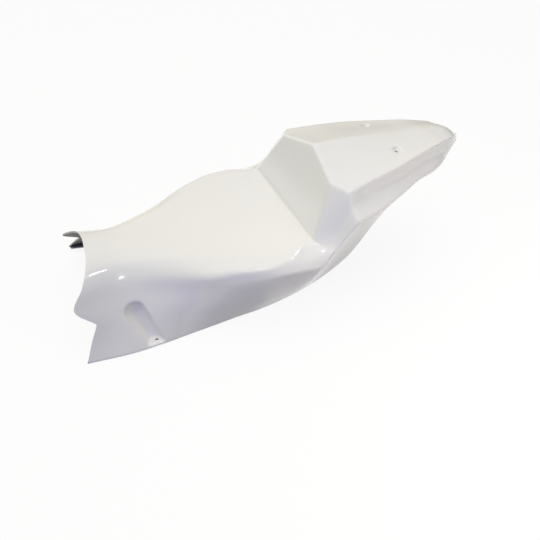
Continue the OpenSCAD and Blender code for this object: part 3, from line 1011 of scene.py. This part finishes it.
    def build(self) -> bpy.types.Object:
        """Returns the moulding as one object, dressed and shaded."""
        points, faces, kinds = self.mesh_data()
        place = self.placed(points)
        mesh = bpy.data.meshes.new("seat_moulding")
        mesh.from_pydata(place.tolist(), [], faces)
        for finish in (self.finish_outside, self.finish_inside, self.finish_edge):
            mesh.materials.append(finish.build())
        mesh.polygons.foreach_set("material_index", kinds)
        mesh.polygons.foreach_set("use_smooth", [True] * len(mesh.polygons))
        mesh.set_sharp_from_angle(angle=math.radians(self.sharp_angle))
        mesh.update()
        shell = bpy.data.objects.new("seat_moulding", mesh)
        bpy.context.scene.collection.objects.link(shell)
        log.info("seat moulding: %d points, %d faces", len(points), len(faces))
        return shell


class StrandTree(Wiring):
    """The node tree that scatters bent strands over a face and presses them onto it."""

    def __init__(self, inputs: dict[str, float | int]) -> None:
        """Args:
            inputs: the tree's inputs by name, each with a value of its kind.
        """
        group = bpy.data.node_groups.new("laid_strands", "GeometryNodeTree")
        sockets = group.interface
        sockets.new_socket("Geometry", in_out="INPUT", socket_type="NodeSocketGeometry")
        for name, value in inputs.items():
            kind = "NodeSocketInt" if isinstance(value, int) else "NodeSocketFloat"
            sockets.new_socket(name, in_out="INPUT", socket_type=kind)
        sockets.new_socket("Geometry", in_out="OUTPUT", socket_type="NodeSocketGeometry")
        super().__init__(group)
        self.given = self.add("NodeGroupInput").outputs

    def strand(self) -> Socket:
        """Returns one bent strand, lying along X about its middle."""
        start, end = (self.add("ShaderNodeCombineXYZ", {
            "X": self.maths("MULTIPLY", self.given["Length"], share)}) for share in (-0.5, 0.5))
        middle = self.add("ShaderNodeCombineXYZ", {"Y": self.given["Bend"]})
        return self.add("GeometryNodeCurveQuadraticBezier", {
            "Resolution": 5, "Start": start.outputs["Vector"], "Middle": middle.outputs["Vector"],
            "End": end.outputs["Vector"]}).outputs["Curve"]

    def scattered(self, strand: Socket, spread: tuple[float, float]) -> Socket:
        """Args:
            strand: the strand to scatter.
            spread: the shortest and the longest strand, as shares of the length.

        Returns:
            Strands over the whole face, turned every way.
        """
        points = self.add("GeometryNodeDistributePointsOnFaces", {
            "Mesh": self.given["Geometry"], "Density": self.given["Density"],
            "Seed": self.given["Seed"]}, distribute_method="RANDOM").outputs
        turn, size = (self.add("FunctionNodeRandomValue", {
            "Min": low, "Max": high, "Seed": self.given["Seed"]}, data_type="FLOAT").outputs[1]
            for low, high in ((0.0, 2 * math.pi), spread))
        laid = self.add("GeometryNodeInstanceOnPoints", {
            "Points": points["Points"], "Rotation": points["Rotation"], "Instance": strand, "Scale": size})
        about = self.add("ShaderNodeCombineXYZ", {"Z": turn})
        spun = self.add("GeometryNodeRotateInstances", {
            "Instances": laid.outputs["Instances"], "Rotation": about.outputs["Vector"]})
        return self.realized(spun.outputs["Instances"])

    def pressed(self, lines: Socket) -> Socket:
        """Returns the strands given, brought onto the face and lifted a little off it."""
        face = self.given["Geometry"]
        nearest = self.add("GeometryNodeProximity", {"Geometry": face}, target_element="FACES")
        normal = self.add("GeometryNodeInputNormal").outputs["Normal"]
        facing = self.add("GeometryNodeSampleNearestSurface", {"Mesh": face, "Value": normal},
                          data_type="FLOAT_VECTOR")
        raised = self.add("ShaderNodeVectorMath", {
            0: facing.outputs["Value"], "Scale": self.given["Lift"]}, operation="SCALE")
        where = self.add("ShaderNodeVectorMath", {
            0: nearest.outputs["Position"], 1: raised.outputs["Vector"]}, operation="ADD")
        return self.add("GeometryNodeSetPosition", {
            "Geometry": lines, "Position": where.outputs["Vector"]}).outputs["Geometry"]

    def realized(self, geometry: Socket) -> Socket:
        """Returns the geometry given with its instances made real."""
        return self.add("GeometryNodeRealizeInstances", {"Geometry": geometry}).outputs["Geometry"]

    def end(self, lines: Socket, material: bpy.types.Material) -> None:
        """Args:
            lines: the strands, which get their body here.
            material: the strands' material.
        """
        bundle = self.add("GeometryNodeCurvePrimitiveCircle", {
            "Resolution": 4, "Radius": self.given["Thickness"]})
        body = self.add("GeometryNodeCurveToMesh", {
            "Curve": lines, "Profile Curve": bundle.outputs["Curve"], "Fill Caps": True})
        dressed = self.add("GeometryNodeSetMaterial", {
            "Geometry": self.realized(body.outputs["Mesh"]), "Material": material})
        self.add("NodeGroupOutput", {"Geometry": dressed.outputs["Geometry"]})


@dataclass(frozen=True)
class LaidStrands:
    """Bundles of chopped strand that show on the inner face, laid every way along it."""

    density: float = 4200.0
    length: float = 0.021
    bend: float = 0.003
    thickness: float = 0.00045
    lift: float = 0.0001
    spread: tuple[float, float] = (0.45, 1.25)
    seed: int = 11
    finish: GlassStrand = field(default_factory=GlassStrand)

    def build(self, points: Points, faces: list[tuple[int, ...]]) -> bpy.types.Object:
        """Args:
            points: the inner face's points, in metres.
            faces: the inner face's faces, which look inward.

        Returns:
            The strands as one plain mesh.
        """
        ground = bpy.data.meshes.new("inner_patch")
        ground.from_pydata(points.tolist(), [], faces)
        strands = bpy.data.objects.new("laid_strands", ground)
        bpy.context.scene.collection.objects.link(strands)
        inputs = {"Density": self.density, "Length": self.length, "Bend": self.bend,
                  "Thickness": self.thickness, "Lift": self.lift, "Seed": self.seed}
        tree = StrandTree(inputs)
        tree.end(tree.pressed(tree.scattered(tree.strand(), self.spread)), self.finish.build())
        modifier = strands.modifiers.new("laid_strands", "NODES")
        modifier.node_group = tree.group
        for item in tree.group.interface.items_tree:
            if item.in_out == "INPUT" and item.name in inputs:
                modifier[item.identifier] = inputs[item.name]
        seen = strands.evaluated_get(bpy.context.evaluated_depsgraph_get())
        mesh = bpy.data.meshes.new_from_object(seen)
        strands.modifiers.remove(modifier)
        strands.data = mesh
        place = np.empty(len(mesh.vertices) * 3)
        mesh.vertices.foreach_get("co", place)
        held = np.clip(place.reshape(-1, 3), np.array(CAD_LOW), np.array(CAD_HIGH))
        mesh.vertices.foreach_set("co", held.ravel())
        mesh.update()
        log.info("laid strands: %d faces", len(mesh.polygons))
        return strands


# Studio and camera


@dataclass(frozen=True)
class Lamp:
    """One soft rectangular lamp that looks at the moulding."""

    name: str
    place: Place
    aim: Place
    size: tuple[float, float]
    watts: float
    colour: Colour = (1.0, 1.0, 1.0)
    mirrored: bool = False

    def build(self) -> None:
        """Adds the lamp to the scene; only a mirrored one shows as a highlight."""
        data = bpy.data.lights.new(self.name, "AREA")
        data.shape = "RECTANGLE"
        data.size, data.size_y = self.size
        data.energy = self.watts
        data.color = self.colour
        lamp = bpy.data.objects.new(self.name, data)
        back = unit(np.array(self.place) - np.array(self.aim))
        overhead = abs(back[2]) > 0.99
        side = unit(np.cross([0, 1, 0] if overhead else [0, 0, 1], back))
        up = np.cross(back, side)
        pose = Matrix(np.column_stack([side, up, back]).tolist()).to_4x4()
        pose.translation = self.place
        lamp.matrix_world = pose
        lamp.visible_glossy = self.mirrored
        bpy.context.scene.collection.objects.link(lamp)


@dataclass(frozen=True)
class Glow:
    """A soft patch of light in the surroundings, such as a pale wall or a window."""

    toward: Place
    tight: float
    colour: Colour

    def add(self, tree: Wiring, place: Socket) -> Socket:
        """Args:
            tree: the surroundings' node tree.
            place: the direction that is looked in.

        Returns:
            The patch's background shader, brightest toward its middle.
        """
        middle = unit(np.array(self.toward)).tolist()
        facing = tree.add("ShaderNodeVectorMath", {0: place, 1: middle}, operation="DOT_PRODUCT")
        front = tree.maths("MAXIMUM", facing.outputs["Value"], 0.0)
        fade = tree.maths("POWER", front, self.tight)
        return tree.add("ShaderNodeBackground", {
            "Color": (*self.colour, 1), "Strength": fade}).outputs["Background"]


@dataclass
class Studio:
    """Pale floor, white surroundings and soft lamps."""

    floor_size: float = 14.0
    floor_gap: float = 0.0002
    floor_glow: float = 0.9
    floor_colour: Colour = (0.93, 0.93, 0.93)
    bounce_colour: Colour = (0.08, 0.08, 0.085)
    glows: tuple[Glow, ...] = (
        Glow((0.0, 1.0, 1.0), 3.0, (1.28, 1.23, 1.1)),
        Glow((-1.0, 0.0, 1.0), 3.0, (1.22, 1.21, 0.68)),
        Glow((-1.0, -1.0, 0.2), 4.0, (0.0, 0.03, 0.85)),
        Glow((0.0, 0.0, 1.0), 6.0, (0.0, 0.02, 0.42)),
    )
    lamps: tuple[Lamp, ...] = (
        Lamp("hip_fill", (0.4, -0.74, 0.34), (0.12, -0.1, 0.1), (0.7, 0.5), 1.75, (1.0, 0.89, 0.76)),
        Lamp("tail_fill", (0.5, -0.85, 0.42), (0.1, -0.1, 0.12), (0.8, 0.5), 2.0, (0.95, 1.0, 0.83)),
        Lamp("ceiling_middle", (-0.05, -0.18, 1.97), (0.0, 0.0, 0.1), (0.16, 0.1), 1.6, mirrored=True),
        Lamp("ceiling_near", (-0.66, -0.84, 1.81), (0.0, 0.0, 0.1), (0.16, 0.1), 1.6, mirrored=True),
        Lamp("ceiling_far", (0.67, 0.30, 1.85), (0.0, 0.0, 0.1), (0.3, 0.1), 1.6, mirrored=True),
    )

    def build(self) -> None:
        """Adds the floor, the surroundings and the lamps."""
        self.floor()
        self.world()
        for lamp in self.lamps:
            lamp.build()

    def floor(self) -> None:
        """Adds the floor, white to the camera but for the shadow, dimmer in what it throws back."""
        mesh = bpy.data.meshes.new("studio_floor")
        h = self.floor_size / 2
        z = CAD_LOW[2] - self.floor_gap
        mesh.from_pydata([(-h, -h, z), (h, -h, z), (h, h, z), (-h, h, z)], [], [(0, 1, 2, 3)])
        tree = Finish("studio_floor")
        path = tree.add("ShaderNodeLightPath").outputs
        seen = tree.maths("MAXIMUM", path["Is Camera Ray"], path["Is Glossy Ray"])
        colour = tree.add("ShaderNodeMix", {
            "Factor": seen, "A": (*self.bounce_colour, 1), "B": (*self.floor_colour, 1)}, data_type="RGBA")
        tree.feed(tree.shader, {
            "Base Color": colour.outputs["Result"], "Roughness": 0.9, "Specular IOR Level": 0.0})
        glow = tree.add("ShaderNodeEmission", {"Color": (1, 1, 1, 1), "Strength": 1.0})
        lit = tree.mixed(tree.maths("MULTIPLY", seen, self.floor_glow), tree.shader.outputs["BSDF"],
                         glow.outputs["Emission"])
        from_below = tree.add("ShaderNodeNewGeometry").outputs["Backfacing"]
        clear = tree.add("ShaderNodeBsdfTransparent").outputs["BSDF"]
        tree.feed(tree.group.nodes["Material Output"], {"Surface": tree.mixed(from_below, lit, clear)})
        mesh.materials.append(tree.material)
        floor = bpy.data.objects.new("studio_floor", mesh)
        bpy.context.scene.collection.objects.link(floor)

    def world(self) -> None:
        """Sets the surroundings: white to the camera, soft patches of light for everything else."""
        world = bpy.data.worlds.new("studio_world")
        world.use_nodes = True
        tree = Wiring(world.node_tree)
        place = tree.add("ShaderNodeTexCoord").outputs["Generated"]
        light = self.glows[0].add(tree, place)
        for glow in self.glows[1:]:
            light = tree.add("ShaderNodeAddShader", {0: light, 1: glow.add(tree, place)}).outputs["Shader"]
        white = world.node_tree.nodes["Background"]
        tree.feed(white, {"Color": (1, 1, 1, 1)})
        seen = tree.add("ShaderNodeLightPath").outputs["Is Camera Ray"]
        surroundings = tree.mixed(seen, light, white.outputs["Background"])
        tree.feed(world.node_tree.nodes["World Output"], {"Surface": surroundings})
        bpy.context.scene.world = world


@dataclass(frozen=True)
class PhotoCamera:
    """The camera at the photograph's viewing angle, as worked out from the moulding's symmetry."""

    place: Place = (-0.3640, -0.7044, 0.6500)
    right: Place = (0.9163, -0.3944, 0.0699)
    ahead: Place = (0.3385, 0.6692, -0.6615)
    focal_px: float = 450.0
    frame_px: float = 540.0
    sensor: float = 36.0
    clip: tuple[float, float] = (0.01, 50.0)

    def build(self) -> None:
        """Adds the camera and makes it the scene's."""
        data = bpy.data.cameras.new("photo_camera")
        data.sensor_fit = "HORIZONTAL"
        data.sensor_width = self.sensor
        data.lens = self.focal_px / self.frame_px * self.sensor
        data.clip_start, data.clip_end = self.clip
        camera = bpy.data.objects.new("photo_camera", data)
        ahead = unit(np.array(self.ahead))
        right = unit(np.array(self.right) - ahead * float(np.dot(self.right, ahead)))
        up = np.cross(right, ahead)
        pose = Matrix(np.column_stack([right, up, -ahead]).tolist()).to_4x4()
        pose.translation = self.place
        camera.matrix_world = pose
        bpy.context.scene.collection.objects.link(camera)
        bpy.context.scene.camera = camera


def main() -> None:
    """Builds the moulding, the studio and the camera."""
    bpy.context.scene.view_settings.view_transform = "Standard"
    moulding = SeatShell()
    shell = moulding.build()
    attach(shell, "root")
    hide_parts("seat_shell")
    strands = LaidStrands().build(*moulding.inner_patch())
    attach(strands, "root")
    Studio().build()
    PhotoCamera().build()
    log.info("studio and camera are in place")


if __name__ == "__main__":
    main()
